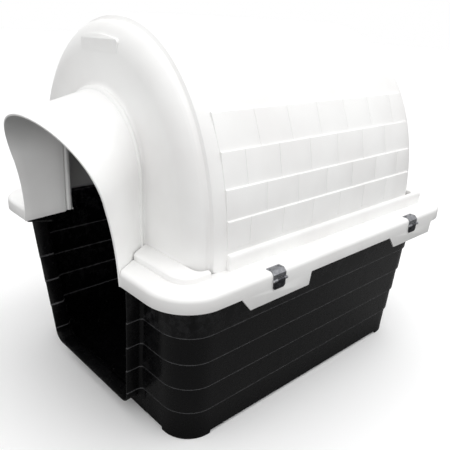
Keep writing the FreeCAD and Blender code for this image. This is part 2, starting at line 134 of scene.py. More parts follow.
def addNode(tree, kind, links=None, **settings):
    node = tree.nodes.new(kind)
    for setting, value in settings.items():
        if setting.startswith("in_"):
            key = setting[3:]
            node.inputs[int(key) if key.isdigit() else key.replace("_", " ")].default_value = value
        else:
            setattr(node, setting, value)
    for socket, source in (links or {}).items():
        tree.links.new(source, node.inputs[socket])
    return node


def mixColours(tree, factor, first, second):
    # blends two hex colours by a node's output
    mix = addNode(tree, "ShaderNodeMix", data_type="RGBA")
    mix.inputs["A"].default_value = linear(first)
    mix.inputs["B"].default_value = linear(second)
    tree.links.new(factor, mix.inputs["Factor"])
    return mix.outputs["Result"]


whiteMouldingLook = {
    "colour": "f3f3f2",
    "shadeColour": "ecebea",
    "cloudSize": 140,       # mm, the slow change of tone across a wall
    "grainSize": 1.6,       # mm, a moulded satin grain, drawn a little coarser than it is so that it shows
    "roughness": (0.34, 0.46),
    "ior": 1.49,
}


def whiteMoulding():
    # white polypropylene, injection moulded: a soft satin sheen over a fine even grain, slow sinks in the walls
    look = whiteMouldingLook
    material = bpy.data.materials.new("whitePolypropylene")
    material.use_nodes = True
    tree = material.node_tree
    shader = tree.nodes["Principled BSDF"]
    shader.inputs["IOR"].default_value = look["ior"]
    place = addNode(tree, "ShaderNodeTexCoord").outputs["Object"]
    clouds = addNode(tree, "ShaderNodeTexNoise", {"Vector": place},
                     in_Scale=1000 / look["cloudSize"], in_Detail=3.0)
    tone = addNode(tree, "ShaderNodeMapRange", {"Value": clouds.outputs["Fac"]},
                   in_From_Min=0.35, in_From_Max=0.7)
    colour = mixColours(tree, tone.outputs["Result"], look["colour"], look["shadeColour"])
    tree.links.new(colour, shader.inputs["Base Color"])
    rubbed = addNode(tree, "ShaderNodeTexNoise", {"Vector": place},
                     in_Scale=38.0, in_Detail=6.0, in_Roughness=0.6)
    rough = addNode(tree, "ShaderNodeMapRange", {"Value": rubbed.outputs["Fac"]},
                    in_From_Min=0.3, in_From_Max=0.7,
                    in_To_Min=look["roughness"][0], in_To_Max=look["roughness"][1])
    tree.links.new(rough.outputs["Result"], shader.inputs["Roughness"])
    grain = addNode(tree, "ShaderNodeTexNoise", {"Vector": place},
                    in_Scale=1000 / look["grainSize"], in_Detail=2.0)
    fine = addNode(tree, "ShaderNodeBump", {"Height": grain.outputs["Fac"]},
                   in_Strength=0.06, in_Distance=0.0004)
    slow = addNode(tree, "ShaderNodeBump", {"Height": clouds.outputs["Fac"], "Normal": fine.outputs["Normal"]},
                   in_Strength=0.10, in_Distance=0.004)
    tree.links.new(slow.outputs["Normal"], shader.inputs["Normal"])
    return material


blackMouldingLook = {
    "colour": "050506",
    "shadeColour": "09090a",
    # paler colour painted on sharp edges: a painted highlight
    "edgeHighlightColour": "4a4a4c",
    "cloudSize": 110,       # mm
    "grainSize": 1.4,       # mm, as on the white, drawn a little coarse
    "roughness": (0.2, 0.32),
    "ior": 1.49,
    "sheen": 0.3,
    # the paler line under each band's lip: a painted highlight
    "lipHighlightColour": "6a6a6c",
    "bands": (8, 62, 300),  # mm: where the bands of the wall start, their height, and the last lip's limit
    "lipHighlightLine": 2.0,         # mm, height of the painted highlight line
    "lipHighlightFade": 3.2,         # mm, where the painted highlight has faded out
}


def blackMoulding():
    # black polypropylene, injection moulded: a glossier satin, faint flow marks, sharp edges painted paler as a
    # painted highlight, and a painted highlight line under the lip of each band
    look = blackMouldingLook
    material = bpy.data.materials.new("blackPolypropylene")
    material.use_nodes = True
    tree = material.node_tree
    shader = tree.nodes["Principled BSDF"]
    shader.inputs["IOR"].default_value = look["ior"]
    shader.inputs["Specular IOR Level"].default_value = look["sheen"]
    place = addNode(tree, "ShaderNodeTexCoord").outputs["Object"]
    clouds = addNode(tree, "ShaderNodeTexNoise", {"Vector": place},
                     in_Scale=1000 / look["cloudSize"], in_Detail=3.0)
    tone = addNode(tree, "ShaderNodeMapRange", {"Value": clouds.outputs["Fac"]},
                   in_From_Min=0.35, in_From_Max=0.7)
    plain = mixColours(tree, tone.outputs["Result"], look["colour"], look["shadeColour"])
    # sharp edges are painted paler: a painted highlight, broken into patches by noise
    edges = addNode(tree, "ShaderNodeNewGeometry").outputs["Pointiness"]
    paintedEdgeHighlight = addNode(tree, "ShaderNodeMapRange", {"Value": edges}, in_From_Min=0.54, in_From_Max=0.62)
    # noise for the roughness, which also breaks the painted highlights into patches
    rubbed = addNode(tree, "ShaderNodeTexNoise", {"Vector": place},
                     in_Scale=55.0, in_Detail=7.0, in_Roughness=0.65)
    patches = addNode(tree, "ShaderNodeMapRange", {"Value": rubbed.outputs["Fac"]},
                      in_From_Min=0.42, in_From_Max=0.68, in_To_Max=0.55)
    edgeHighlightMask = addNode(tree, "ShaderNodeMath", {0: paintedEdgeHighlight.outputs["Result"], 1: patches.outputs["Result"]},
                     operation="MULTIPLY")
    mix = addNode(tree, "ShaderNodeMix", {"Factor": edgeHighlightMask.outputs["Value"], "A": plain}, data_type="RGBA")
    mix.inputs["B"].default_value = linear(look["edgeHighlightColour"])
    # a thin paler line is painted under the lip of each band of the wall: a painted highlight, broken up by noise
    start, height, limit = look["bands"]
    high = addNode(tree, "ShaderNodeSeparateXYZ", {"Vector": place}).outputs["Z"]
    band = addNode(tree, "ShaderNodeMapRange", {"Value": high}, clamp=False,
                   in_From_Min=start * mm, in_From_Max=(start + height) * mm)
    above = addNode(tree, "ShaderNodeMath", {0: band.outputs["Result"]}, operation="FRACT")
    near = addNode(tree, "ShaderNodeMapRange", {"Value": above.outputs["Value"]},
                   in_From_Min=look["lipHighlightLine"] / height, in_From_Max=look["lipHighlightFade"] / height,
                   in_To_Min=1.0, in_To_Max=0.0)
    low = addNode(tree, "ShaderNodeMath", {0: high}, operation="LESS_THAN", in_1=limit * mm)
    over = addNode(tree, "ShaderNodeMath", {0: high}, operation="GREATER_THAN", in_1=(start + height / 2) * mm)
    # noise that breaks up the painted highlight line
    highlightBreakup = addNode(tree, "ShaderNodeMapRange", {"Value": rubbed.outputs["Fac"]},
                   in_From_Min=0.35, in_From_Max=0.62, in_To_Min=0.35, in_To_Max=0.8)
    lipHighlight = near.outputs["Result"]
    for limit in (low.outputs["Value"], over.outputs["Value"], highlightBreakup.outputs["Result"]):
        lipHighlight = addNode(tree, "ShaderNodeMath", {0: lipHighlight, 1: limit}, operation="MULTIPLY").outputs["Value"]
    highlighted = addNode(tree, "ShaderNodeMix", {"Factor": lipHighlight, "A": mix.outputs["Result"]}, data_type="RGBA")
    highlighted.inputs["B"].default_value = linear(look["lipHighlightColour"])
    tree.links.new(highlighted.outputs["Result"], shader.inputs["Base Color"])
    rough = addNode(tree, "ShaderNodeMapRange", {"Value": rubbed.outputs["Fac"]},
                    in_From_Min=0.3, in_From_Max=0.7,
                    in_To_Min=look["roughness"][0], in_To_Max=look["roughness"][1])
    tree.links.new(rough.outputs["Result"], shader.inputs["Roughness"])
    grain = addNode(tree, "ShaderNodeTexNoise", {"Vector": place},
                    in_Scale=1000 / look["grainSize"], in_Detail=2.0)
    fine = addNode(tree, "ShaderNodeBump", {"Height": grain.outputs["Fac"]},
                   in_Strength=0.08, in_Distance=0.0004)
    slow = addNode(tree, "ShaderNodeBump", {"Height": clouds.outputs["Fac"], "Normal": fine.outputs["Normal"]},
                   in_Strength=0.12, in_Distance=0.004)
    tree.links.new(slow.outputs["Normal"], shader.inputs["Normal"])
    return material


latchSteelLook = {
    "colour": "3a3b3e",
    "paleColour": "5c5d61",
    "roughness": (0.28, 0.5),
    "scratchWidth": 0.5,    # mm
    "stretch": 0.08,        # how drawn out the rolling lines are along Y
}

strapSteelLook = {
    "colour": "808185",
    "paleColour": "a0a1a5",
    "roughness": (0.3, 0.5),
    "scratchWidth": 0.5,    # mm
    "stretch": 0.08,        # how drawn out the rolling lines are along Y
}

pinSteelLook = {
    "colour": "b4b5b8",
    "paleColour": "cfd0d3",
    "roughness": (0.2, 0.36),
    "scratchWidth": 0.5,    # mm
    "stretch": 0.08,        # how drawn out the rolling lines are along Y
}


def latchSteel(name, look):
    # cold-rolled steel, zinc plated: a grey metal with rolling lines and duller rubbed patches
    material = bpy.data.materials.new(name)
    material.use_nodes = True
    tree = material.node_tree
    shader = tree.nodes["Principled BSDF"]
    shader.inputs["Metallic"].default_value = 1.0
    place = addNode(tree, "ShaderNodeTexCoord").outputs["Object"]
    rubbed = addNode(tree, "ShaderNodeTexNoise", {"Vector": place}, in_Scale=160.0, in_Detail=5.0)
    patches = addNode(tree, "ShaderNodeMapRange", {"Value": rubbed.outputs["Fac"]},
                      in_From_Min=0.35, in_From_Max=0.65)
    colour = mixColours(tree, patches.outputs["Result"], look["colour"], look["paleColour"])
    tree.links.new(colour, shader.inputs["Base Color"])
    stretched = addNode(tree, "ShaderNodeMapping", {"Vector": place})
    stretched.inputs["Scale"].default_value = (1.0, look["stretch"], 1.0)
    lines = addNode(tree, "ShaderNodeTexNoise", {"Vector": stretched.outputs["Vector"]},
                    in_Scale=1000 / look["scratchWidth"], in_Detail=3.0)
    rough = addNode(tree, "ShaderNodeMapRange", {"Value": lines.outputs["Fac"]},
                    in_From_Min=0.3, in_From_Max=0.7,
                    in_To_Min=look["roughness"][0], in_To_Max=look["roughness"][1])
    tree.links.new(rough.outputs["Result"], shader.inputs["Roughness"])
    bump = addNode(tree, "ShaderNodeBump", {"Height": lines.outputs["Fac"]},
                   in_Strength=0.12, in_Distance=0.0002)
    tree.links.new(bump.outputs["Normal"], shader.inputs["Normal"])
    return material


whitePlastic = whiteMoulding()
blackPlastic = blackMoulding()
steel = latchSteel("darkZincSteel", latchSteelLook)
strapSteel = latchSteel("greyZincSteel", strapSteelLook)
pinSteel = latchSteel("brightZincSteel", pinSteelLook)
print("materials made")


# the tub

tubSizes = {
    "footHalf": (297.5, 375.5),   # half width and half length at the foot
    "cornerRadius": 66,
    "footHeight": 8,
    "footSquare": 71,
    "bandHeight": 62,
    "steppedBands": 4,
    "draft": 2.5,                 # degrees
    "step": 2.7,
    "top": 356,
    "wall": 3.5,
    "lipRound": 2.2,
    "bottomRound": 1.6,
}


def roundedPlane(halfX, halfY, z, radius, segments=12):
    # one flat face with round corners, left in edit mode with everything selected
    bpy.ops.mesh.primitive_plane_add(size=1, location=(0, middle, z * mm))
    piece = bpy.context.object
    piece.scale = (2 * halfX * mm, 2 * halfY * mm, 1)
    bpy.ops.object.transform_apply(location=True, rotation=True, scale=True)
    startEdit(piece)
    bpy.ops.mesh.select_all(action="SELECT")
    bpy.ops.mesh.bevel(offset=radius * mm, segments=segments, affect="VERTICES")
    return piece


def growLoop(now, after, rise, z):
    # the next edge loop of a round-cornered wall, from one half width and length to another
    nextLoop(z=rise * mm)
    scaleAbout(after[0] / now[0], after[1] / now[1], 1, 0, middle, z * mm)


def makeTubWalls():
    s = tubSizes
    half = s["footHalf"]
    tub = roundedPlane(half[0], half[1], s["footHeight"], s["cornerRadius"])
    for cut in (half[0] - s["footSquare"], s["footSquare"] - half[0]):
        bpy.ops.mesh.select_all(action="SELECT")
        bpy.ops.mesh.bisect(plane_co=(cut * mm, 0, 0), plane_no=(1, 0, 0))
    for cut in (half[1] - s["footSquare"], s["footSquare"] - half[1]):
        bpy.ops.mesh.select_all(action="SELECT")
        bpy.ops.mesh.bisect(plane_co=(0, middle + cut * mm, 0), plane_no=(0, 1, 0))
    pick("EDGE", lambda e: e.is_boundary)
    lean = math.tan(math.radians(s["draft"]))
    z = s["footHeight"]
    for band in range(s["steppedBands"] + 1):
        height = s["bandHeight"] if band < s["steppedBands"] else s["top"] - z
        wide = (half[0] + height * lean, half[1] + height * lean)
        z += height
        growLoop(half, wide, height, z)
        half = wide
        if band < s["steppedBands"]:
            stepped = (half[0] + s["step"], half[1] + s["step"])
            growLoop(half, stepped, 0, z)
            half = stepped
    # the four feet stand out of the floor
    pick("FACE", lambda c, n: abs(c.z - s["footHeight"] * mm) < 0.1 * mm
         and abs(c.x) > (s["footHalf"][0] - s["footSquare"]) * mm
         and abs(c.y - middle) > (s["footHalf"][1] - s["footSquare"]) * mm)
    bpy.ops.mesh.extrude_region_move(TRANSFORM_OT_translate={"value": (0, 0, -s["footHeight"] * mm)})
    facesOut()
    # the lip of each band and the tub's bottom edges are rounded
    levels = [s["footHeight"] + s["bandHeight"] * (n + 1) for n in range(s["steppedBands"])]
    pick("EDGE", lambda e: any(all(abs(v.co.z - level * mm) < 0.05 * mm for v in e.verts) for level in levels)
         and len(e.link_faces) == 2 and min(abs(f.normal.z) for f in e.link_faces) < 0.5
         and max(abs(f.normal.z) for f in e.link_faces) > 0.9)
    bpy.ops.mesh.bevel(offset=s["lipRound"] * mm, segments=2)
    low = (s["footHeight"] + 1) * mm
    firstBand = (s["footHeight"] + 0.6 * s["bandHeight"]) * mm
    pick("EDGE", lambda e: all(v.co.z < low for v in e.verts) and len(e.link_faces) == 2
         and e.calc_face_angle(0) > math.radians(60)
         and max(f.calc_center_median().z for f in e.link_faces) < firstBand
         and abs(e.verts[0].co.z - e.verts[1].co.z) < 0.5 * mm)
    bpy.ops.mesh.bevel(offset=s["bottomRound"] * mm, segments=3)
    endEdit()
    modify(tub, "SOLIDIFY", thickness=s["wall"] * mm, offset=-1)
    return tub


def facesOut(y=middle, z=0.35):
    # makes the faces of an open or closed skin all point away from a place inside it
    fixNormals()
    mesh = bmesh.from_edit_mesh(bpy.context.object.data)
    centre = Vector((0, y, z))
    outward = sum((f.calc_center_median() - centre).normalized().dot(f.normal) * f.calc_area()
                  for f in mesh.faces)
    if outward < 0:
        bpy.ops.mesh.select_all(action="SELECT")
        bpy.ops.mesh.flip_normals()


portalSizes = {
    "foot": 42,
    "top": 366,
    "halfFoot": 161,
    "cornerRadius": 26,
    "flare": 0.11,          # how much each side opens for each millimetre up
    "step": 2.7,
    "ledges": (132, 194, 256),
    "front": -438,          # along Y from the flange's middle, at the top
    "wallFace": -402,
    "lean": 4.1,            # degrees
    "blend": 10,            # the round where it joins the wall
    "blendHalf": 210,       # half width that the round grows from
    "edge": (1.2, 4),       # the last strip behind the round: along Y, and outwards
    "wall": 3.5,
}


def portalLine(y, inset=0.0, top=None):
    # the doorway's U, from its top left over the foot to its top right, left in edit mode as one line of edges
    s = portalSizes
    foot, half, top = s["foot"] + inset, s["halfFoot"] - inset, top or s["top"]
    first = s["ledges"][0]
    bpy.ops.mesh.primitive_plane_add(size=1, location=(0, middle + y * mm, (foot + first) / 2 * mm),
                                     rotation=(math.radians(90), 0, 0))
    line = bpy.context.object
    line.scale = (2 * half * mm, (first - foot) * mm, 1)
    bpy.ops.object.transform_apply(location=True, rotation=True, scale=True)
    startEdit(line)
    pick("VERT", lambda co: co.z < (foot + 1) * mm)
    bpy.ops.mesh.bevel(offset=(s["cornerRadius"] - inset) * mm, segments=8, affect="VERTICES")
    bpy.ops.mesh.select_all(action="SELECT")
    bpy.ops.mesh.delete(type="ONLY_FACE")
    pick("EDGE", lambda e: all(v.co.z > (first - 1) * mm for v in e.verts))
    bpy.ops.mesh.delete(type="EDGE")
    # the sides open a little, with a step at each ledge
    pick("VERT", lambda co: co.z > (first - 1) * mm)
    z = first
    wide = half + (first - foot - s["cornerRadius"] + inset) * s["flare"]
    scaleAbout(wide / half, 1, 1)
    for level in s["ledges"][1:] + (top,):
        stepped = wide + s["step"]
        bpy.ops.mesh.extrude_vertices_move(TRANSFORM_OT_translate={"value": (0, 0, 0)})
        scaleAbout(stepped / wide, 1, 1)
        wide = stepped + (level - z) * s["flare"]
        bpy.ops.mesh.extrude_vertices_move(TRANSFORM_OT_translate={"value": (0, 0, (level - z) * mm)})
        scaleAbout(wide / stepped, 1, 1)
        z = level
    return line


def leanBack(piece, degrees, y, z):
    # turns everything about a line along X, so that the foot goes back
    startEdit(piece)
    bpy.ops.mesh.select_all(action="SELECT")
    bpy.ops.transform.rotate(value=math.radians(-degrees), orient_axis="X", center_override=(0, y, z))
    endEdit()


def makePortal():
    s = portalSizes
    portal = portalLine(s["front"])
    bpy.ops.mesh.select_all(action="SELECT")
    straight = s["wallFace"] - s["front"] - s["blend"]
    height = s["top"] - s["foot"]
    nextLoop(y=straight * mm)

    def growRound(now, after, along):
        nextLoop(y=along * mm)
        scaleAbout((s["blendHalf"] + after) / (s["blendHalf"] + now), 1, (height + after) / (height + now),
                   0, 0, s["top"] * mm)
    out, back = 0.0, straight
    for turn in (math.radians(angle) for angle in range(15, 91, 15)):
        newBack = straight + s["blend"] * math.sin(turn)
        newOut = s["blend"] * (1 - math.cos(turn))
        growRound(out, newOut, newBack - back)
        out, back = newOut, newBack
    growRound(out, out + s["edge"][1], s["edge"][0])
    facesOut(y=-0.39, z=0.30)
    endEdit()
    leanBack(portal, s["lean"], middle + s["wallFace"] * mm, s["top"] * mm)
    modify(portal, "SOLIDIFY", thickness=s["wall"] * mm, offset=-1)
    modify(portal, "BEVEL", width=0.9 * mm, segments=2, limit_method="ANGLE", angle_limit=math.radians(50))
    return portal


doorCutterSizes = {
    "ahead": 12,            # of the front wall
    "clear": 6,             # outside the surround's line
    "top": 420,
    "depth": 60,
}


def makeDoorCutter():
    # everything inside the surround, to open the tub's front wall
    s, c = portalSizes, doorCutterSizes
    cutter = portalLine(s["wallFace"] - c["ahead"], inset=-c["clear"], top=c["top"])
    bpy.ops.mesh.select_all(action="SELECT")
    bpy.ops.mesh.edge_face_add()
    bpy.ops.mesh.extrude_region_move(TRANSFORM_OT_translate={"value": (0, c["depth"] * mm, 0)})
    fixNormals()
    endEdit()
    leanBack(cutter, s["lean"], middle + s["wallFace"] * mm, s["top"] * mm)
    return cutter


def cutAway(piece, cutter):
    modify(piece, "BOOLEAN", object=cutter, operation="DIFFERENCE", solver="MANIFOLD")
    bpy.data.objects.remove(cutter)


tubWalls = makeTubWalls()
cutAway(tubWalls, makeDoorCutter())
finishPiece(tubWalls, "tubWalls", "tub", blackPlastic, ("base_tub",))
finishPiece(makePortal(), "doorSurround", "tub", blackPlastic, ("base_tub",))
print("tub made")


# the roof

vaultSizes = {
    "halfWidth": 311,
    "rise": 404,
    "spring": 400,          # height where the sides start to curve in
    "foot": 372,
    "halfLength": 360,
    "squareness": (2.15, 2.3),   # of the arch at the crown and at the flat end walls; 2 is an ellipse
    "endInset": (58, 66),   # how far the end wall's outline lies inside the arch, across and down
    "endDepth": 58,
    "endTurns": (0, 8, 15, 21, 23.5, 32.5, 35, 44, 53, 62, 71, 80, 90),   # degrees round the end
    "grooveTurns": (22, 34),   # the groove lies between these
    "grooveDepth": 6,
    "segments": 96,
    "wall": 3.5,
}

hoodSizes = {
    "half": 145,
    "rise": 145,
    "spring": 524,
    "foot": 348,
    "footRise": 28,         # the legs end higher towards the end wall
    "flare": 0.434,         # what the hood gains in half width for each millimetre forward
    "footFlare": 0.644,
    "drop": 0.284,
    "reach": 65,
    "front": 90,            # from the end wall to the rim's foot
    "rimFoot": 360,
    "rimSpan": 265,
    # forward from the end wall, and out from the hood's skin: a soft round, then a small raised bead
    "blend": ((0, 12), (0.5, 8), (1.8, 4.8), (3.8, 2.6), (5.6, 1.9), (6.4, 3.2), (7.6, 4.6),
              (9.4, 5.2), (11.2, 5.0), (13, 3.9), (14.2, 2.1), (14.8, 0.6), (15, 0.0)),
    "loops": (40, 70, 100, 130, 160),   # forward from the end wall, before the rim is trimmed
    "legRungs": 9,
}


def shapeLoop(rule):
    # moves the selected vertices to where the rule puts them
    mesh = bmesh.from_edit_mesh(bpy.context.object.data)
    for v in mesh.verts:
        if v.select:
            v.co = rule(v.co.copy())
    bmesh.update_edit_mesh(bpy.context.object.data)


def archShape(inset):
    # half width, rise and squareness of the vault where its skin lies in by a share of the end's inset
    s = vaultSizes
    return (s["halfWidth"] - inset * s["endInset"][0], s["rise"] - inset * s["endInset"][1],
            s["squareness"][0] + inset * (s["squareness"][1] - s["squareness"][0]))


def reshapeArch(now, after):
    spring = vaultSizes["spring"] * mm

    def rule(co):
        if co.z < spring - 1e-5:
            return Vector((math.copysign(after[0] * mm, co.x), co.y, co.z))
        across = (abs(co.x) / (now[0] * mm)) ** (now[2] / 2)
        up = (max(co.z - spring, 0) / (now[1] * mm)) ** (now[2] / 2)
        turn = math.atan2(up, across)
        return Vector((math.copysign(math.cos(turn) ** (2 / after[2]) * after[0] * mm, co.x), co.y,
                       spring + max(math.sin(turn), 0) ** (2 / after[2]) * after[1] * mm))
    return rule


def vaultStations():
    # places along Y from the crown's full arch out to the end wall, with the share of the end's inset
    s = vaultSizes
    full = s["halfLength"] - s["endDepth"]
    places = []
    for turn in s["endTurns"]:
        deep = s["grooveDepth"] / s["endInset"][0] if s["grooveTurns"][0] < turn < s["grooveTurns"][1] else 0
        angle = math.radians(turn)
        places.append((full + s["endDepth"] * math.sin(angle), 1 - math.cos(angle) + deep))
    return places


def hoodAt(out, offset, leg, turn, side):
    # a point of the hood's skin: a share up its leg, or an angle round its arch
    s = hoodSizes
    half = s["half"] + s["flare"] * out + offset
    halfFoot = s["half"] + s["footFlare"] * out + offset
    spring = s["spring"] - s["drop"] * out
    foot = s["foot"] + s["footRise"] * max(1 - out / s["front"], 0)
    if leg is not None:
        return side * (halfFoot + leg * (half - halfFoot)) * mm, (foot + leg * (spring - foot)) * mm
    return half * math.cos(turn) * mm, (spring + (s["rise"] + offset) * math.sin(turn)) * mm


def hoodPlace(co, out, offset):
    # which leg share or arch angle a point of the hood has
    s = hoodSizes
    half = s["half"] + s["flare"] * out + offset
    spring = s["spring"] - s["drop"] * out
    foot = s["foot"] + s["footRise"] * max(1 - out / s["front"], 0)
    if co.z < spring * mm - 2e-5:
        return (co.z / mm - foot) / (spring - foot), None, math.copysign(1, co.x)
    return None, math.atan2((co.z / mm - spring) / (s["rise"] + offset), co.x / mm / half), 1


def reshapeHood(now, after):
    def rule(co):
        x, z = hoodAt(after[0], after[1], *hoodPlace(co, *now))
        return Vector((x, co.y, z))
    return rule


def trimHood(co):
    # draws the evenly flared hood back to its rim, which leans forward as it rises
    s = hoodSizes
    wall = -vaultSizes["halfLength"]
    start = s["blend"][-1][0]
    out = wall - (co.y - middle) / mm
    place = hoodPlace(co, out, 0)
    rim = 120.0
    for n in range(15):     # settles where the rim crosses this line of the hood
        rise = (hoodAt(rim, 0, *place)[1] / mm - s["rimFoot"]) / s["rimSpan"]
        rim = s["front"] + s["reach"] * rise * abs(rise)
    out = start + (out - start) / (s["loops"][-1] - start) * (rim - start)
    x, z = hoodAt(out, 0, *place)
    return Vector((x, middle + (wall - out) * mm, z))


def makeVault():
    s, h = vaultSizes, hoodSizes
    spring = s["spring"] * mm
    stations = vaultStations()
    line = [(y, inset) for y, inset in reversed(stations)] + [(-y, inset) for y, inset in stations]
    rear = line[0]
    bpy.ops.mesh.primitive_circle_add(vertices=s["segments"], radius=1, fill_type="NOTHING",
                                      location=(0, middle + rear[0] * mm, spring),
                                      rotation=(math.radians(90), 0, 0))
    vault = bpy.context.object
    bpy.ops.object.transform_apply(location=True, rotation=True, scale=True)
    startEdit(vault)
    pick("VERT", lambda co: co.z < spring - 1e-4)
    bpy.ops.mesh.delete(type="VERT")
    bpy.ops.mesh.select_all(action="SELECT")
    shape = archShape(rear[1])
    scaleAbout(shape[0] * mm, 1, shape[1] * mm, 0, 0, spring)
    shapeLoop(reshapeArch((shape[0], shape[1], 2), shape))
    pick("VERT", lambda co: co.z < spring + 1e-4)
    bpy.ops.mesh.extrude_vertices_move(TRANSFORM_OT_translate={"value": (0, 0, (s["foot"] - s["spring"]) * mm)})
    bpy.ops.mesh.select_all(action="SELECT")
    for place, after in zip(line, line[1:]):
        nextLoop(y=(after[0] - place[0]) * mm)
        shapeLoop(reshapeArch(archShape(place[1]), archShape(after[1])))
    # the hood's outline on the end wall
    wall = middle - s["halfLength"] * mm
    wide = h["half"] + h["blend"][0][1]
    bpy.ops.mesh.select_all(action="DESELECT")
    bpy.ops.mesh.primitive_circle_add(vertices=64, radius=wide * mm, fill_type="NOTHING",
                                      location=(0, wall, h["spring"] * mm), rotation=(math.radians(90), 0, 0))

    def inHood(co):
        return abs(co.y - wall) < 1e-5 and math.hypot(co.x, max(co.z - h["spring"] * mm, 0)) < (wide + 0.1) * mm
    pick("VERT", lambda co: inHood(co) and co.z < h["spring"] * mm - 1e-4)
    bpy.ops.mesh.delete(type="VERT")
    pick("VERT", lambda co: inHood(co) and co.z < h["spring"] * mm + 1e-4)
    legFoot = h["foot"] + h["footRise"]
    drop = (h["spring"] - legFoot) / h["legRungs"]
    for n in range(h["legRungs"]):
        bpy.ops.mesh.extrude_vertices_move(TRANSFORM_OT_translate={"value": (0, 0, -drop * mm)})
    pick("EDGE", lambda e: e.is_boundary and all(abs(v.co.y - wall) < 1e-5 for v in e.verts) or e.is_wire)
    bpy.ops.mesh.bridge_edge_loops()
    # the hood itself, loop by loop
    pick("EDGE", lambda e: e.is_boundary and all(inHood(v.co) for v in e.verts)
         and not all(v.co.z < (legFoot + 0.5) * mm for v in e.verts))
    now = h["blend"][0]
    for after in h["blend"][1:] + tuple((out, 0) for out in h["loops"]):
        nextLoop(y=(now[0] - after[0]) * mm)
        shapeLoop(reshapeHood(now, after))
        now = after
    start = wall - h["blend"][-1][0] * mm
    pick("VERT", lambda co: co.y < start - 1e-5)
    shapeLoop(trimHood)
    # the flat end wall at the rear
    back = middle + s["halfLength"] * mm
    pick("VERT", lambda co: abs(co.y - back) < 1e-5)
    bpy.ops.mesh.edge_face_add()
    facesOut(z=0.45)
    endEdit()
    modify(vault, "SOLIDIFY", thickness=s["wall"] * mm, offset=-1)
    modify(vault, "BEVEL", width=0.9 * mm, segments=2, limit_method="ANGLE", angle_limit=math.radians(40))
    modify(vault, "WEIGHTED_NORMAL", keep_sharp=True)
    return vault


flangeSizes = {
    "half": (372, 450),
    "cornerRadius": 88,
    "bottom": 348,
    "top": 378,
    "edgeRound": 10,
    "hole": (309, 358),
    "wall": 3.5,
    "tabCentres": (-215.5, 258.5),
    "tabHalf": 95,
    "tabSlants": (23, 5),   # of the front and rear ends
    "tabDrop": 28,
    "slot": (20, 6),        # where each lever's tongue goes through, across and high
    "slotDown": 1,          # below the skirt's bottom
    "latchShift": -1.5,
    "opening": (300, 420),  # heights between which the way in is cut
}


def makeOpening(low, high):
    # the way in between the hood's legs, as a block that widens forward
    s = hoodSizes
    wall = middle - vaultSizes["halfLength"] * mm
    inside = vaultSizes["wall"]
    bpy.ops.mesh.primitive_cube_add(size=1, location=(0, wall - 0.06, (low + high) / 2 * mm))
    block = bpy.context.object
    block.scale = (2 * (s["half"] - inside) * mm, 0.12, (high - low) * mm)
    bpy.ops.object.transform_apply(location=True, rotation=True, scale=True)
    startEdit(block)
    pick("FACE", lambda c, n: n.y < -0.9)
    scaleAbout((s["half"] - inside + s["footFlare"] * 120) / (s["half"] - inside), 1, 1)
    pick("FACE", lambda c, n: n.y > 0.9)
    moveBy(y=12 * mm)
    endEdit()
    return block


def makeBlock(x, y, z):
    # a plain cutting block from three pairs of limits in millimetres
    bpy.ops.mesh.primitive_cube_add(size=1, location=((x[0] + x[1]) / 2 * mm, middle + (y[0] + y[1]) / 2 * mm,
                                                      (z[0] + z[1]) / 2 * mm))
    block = bpy.context.object
    block.scale = ((x[1] - x[0]) * mm, (y[1] - y[0]) * mm, (z[1] - z[0]) * mm)
    bpy.ops.object.transform_apply(location=True, rotation=True, scale=True)
    return block


def openMiddle(s, strip):
    # leaves a ring of the selected face, with its inner edge at the hole's half width and length
    bpy.ops.mesh.inset(thickness=strip * mm)
    scaleAbout(s["hole"][0] / (s["half"][0] - strip), s["hole"][1] / (s["half"][1] - strip), 1, 0, middle, 0)
    bpy.ops.mesh.delete(type="FACE")


